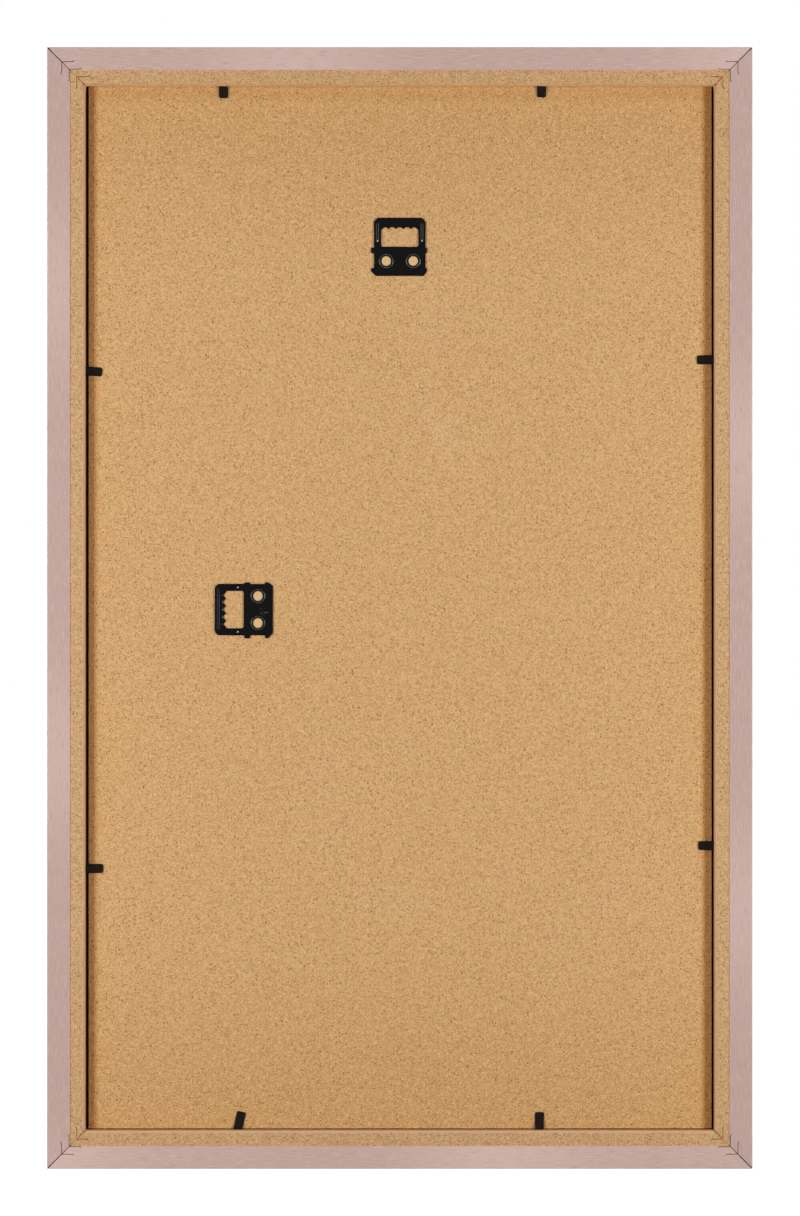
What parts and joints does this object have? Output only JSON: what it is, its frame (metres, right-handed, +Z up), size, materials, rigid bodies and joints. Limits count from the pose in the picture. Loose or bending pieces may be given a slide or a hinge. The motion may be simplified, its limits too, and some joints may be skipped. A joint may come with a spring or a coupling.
{
  "type": "picture frame",
  "caption": "Foil-wrapped mitred picture frame with glass, a plain insert and a backing board held by bendable tabs, and sawtooth hangers for hanging it upright or across.",
  "frame": {"origin": "on the wall plane, at the nail line under the upright hanger's teeth, midway across the frame", "axes": "+Z up as hung upright, +Y out of the back into the wall, +X to the right as seen from the front"},
  "size_m": [0.339, 0.02, 0.539],
  "materials": {
    "brushed_foil": "satin brushed foil",
    "rail_fibreboard": "raw machined fibreboard",
    "backing_fibreboard": "raw fibreboard sheet",
    "black_steel": "semi-gloss black",
    "nail_steel": "dull steel strip",
    "clear_glass": "polished float glass",
    "insert_paper": "plain uncoated sheet"
  },
  "bodies": {
    "frame": {"top_rail": "rail_fibreboard", "bottom_rail": "rail_fibreboard", "left_rail": "rail_fibreboard", "right_rail": "rail_fibreboard", "top_rail_foil": "brushed_foil", "bottom_rail_foil": "brushed_foil", "left_rail_foil": "brushed_foil", "right_rail_foil": "brushed_foil", "v_nails_top_left": "nail_steel", "v_nails_top_right": "nail_steel", "v_nails_bottom_left": "nail_steel", "v_nails_bottom_right": "nail_steel", "tab_shanks": "black_steel"},
    "backing": {"backing_board": "backing_fibreboard", "portrait_hanger_plate": "black_steel", "landscape_hanger_plate": "black_steel"},
    "insert": {"insert_sheet": "insert_paper"},
    "glass": {"glass_pane": "clear_glass"},
    "portrait_loop": {"portrait_hanger_loop": "black_steel"},
    "landscape_loop": {"landscape_hanger_loop": "black_steel"},
    "flex_tab_top_left": {"flex_tab_top_left": "black_steel"},
    "flex_tab_top_right": {"flex_tab_top_right": "black_steel"},
    "flex_tab_bottom_left": {"flex_tab_bottom_left": "black_steel"},
    "flex_tab_bottom_right": {"flex_tab_bottom_right": "black_steel"},
    "flex_tab_left_upper": {"flex_tab_left_upper": "black_steel"},
    "flex_tab_left_lower": {"flex_tab_left_lower": "black_steel"},
    "flex_tab_right_upper": {"flex_tab_right_upper": "black_steel"},
    "flex_tab_right_lower": {"flex_tab_right_lower": "black_steel"}
  },
  "joints": [
    {"name": "backing_lift", "type": "slide", "parent": "frame", "child": "backing", "axis": [0, 1, 0], "range_m": [0, 0.06], "deforming": ["flex_tab_top_left", "flex_tab_top_right", "flex_tab_bottom_left", "flex_tab_bottom_right", "flex_tab_left_upper", "flex_tab_left_lower", "flex_tab_right_upper", "flex_tab_right_lower"]},
    {"name": "insert_lift", "type": "slide", "parent": "frame", "child": "insert", "axis": [0, 1, 0], "range_m": [0, 0.04]},
    {"name": "glass_lift", "type": "slide", "parent": "frame", "child": "glass", "axis": [0, 1, 0], "range_m": [0, 0.02]},
    {"name": "flex_tab_top_left_bend", "type": "hinge", "parent": "frame", "child": "flex_tab_top_left", "pos_m": [-0.0683, -0.0049, 0.06705], "axis": [1, 0, 0], "range_deg": [0, 90]},
    {"name": "flex_tab_top_right_bend", "type": "hinge", "parent": "frame", "child": "flex_tab_top_right", "pos_m": [0.0849, -0.0049, 0.06705], "axis": [1, 0, 0], "range_deg": [0, 90]},
    {"name": "flex_tab_bottom_left_bend", "type": "hinge", "parent": "frame", "child": "flex_tab_bottom_left", "pos_m": [-0.0672, -0.0049, -0.43485], "axis": [-1, 0, 0], "range_deg": [0, 90]},
    {"name": "flex_tab_bottom_right_bend", "type": "hinge", "parent": "frame", "child": "flex_tab_bottom_right", "pos_m": [0.0781, -0.0049, -0.43485], "axis": [-1, 0, 0], "range_deg": [0, 90]},
    {"name": "flex_tab_left_upper_bend", "type": "hinge", "parent": "frame", "child": "flex_tab_left_upper", "pos_m": [-0.15095, -0.0049, -0.0644], "axis": [0, 0, 1], "range_deg": [0, 90]},
    {"name": "flex_tab_left_lower_bend", "type": "hinge", "parent": "frame", "child": "flex_tab_left_lower", "pos_m": [-0.15095, -0.0049, -0.2984], "axis": [0, 0, 1], "range_deg": [0, 90]},
    {"name": "flex_tab_right_upper_bend", "type": "hinge", "parent": "frame", "child": "flex_tab_right_upper", "pos_m": [0.15095, -0.0049, -0.0698], "axis": [0, 0, -1], "range_deg": [0, 90]},
    {"name": "flex_tab_right_lower_bend", "type": "hinge", "parent": "frame", "child": "flex_tab_right_lower", "pos_m": [0.15095, -0.0049, -0.3094], "axis": [0, 0, -1], "range_deg": [0, 90]},
    {"name": "portrait_loop_bend", "type": "hinge", "parent": "backing", "child": "portrait_loop", "pos_m": [0, -0.0056, -0.0084], "axis": [-1, 0, 0], "range_deg": [0, 60]},
    {"name": "landscape_loop_bend", "type": "hinge", "parent": "backing", "child": "landscape_loop", "pos_m": [0.0767, -0.0056, -0.1847], "axis": [0, 0, 1], "range_deg": [0, 60]}
  ],
  "couplings": [
    {"joint": "insert_lift", "follows": "backing_lift", "ratio": 0.66},
    {"joint": "glass_lift", "follows": "backing_lift", "ratio": 0.33}
  ]
}
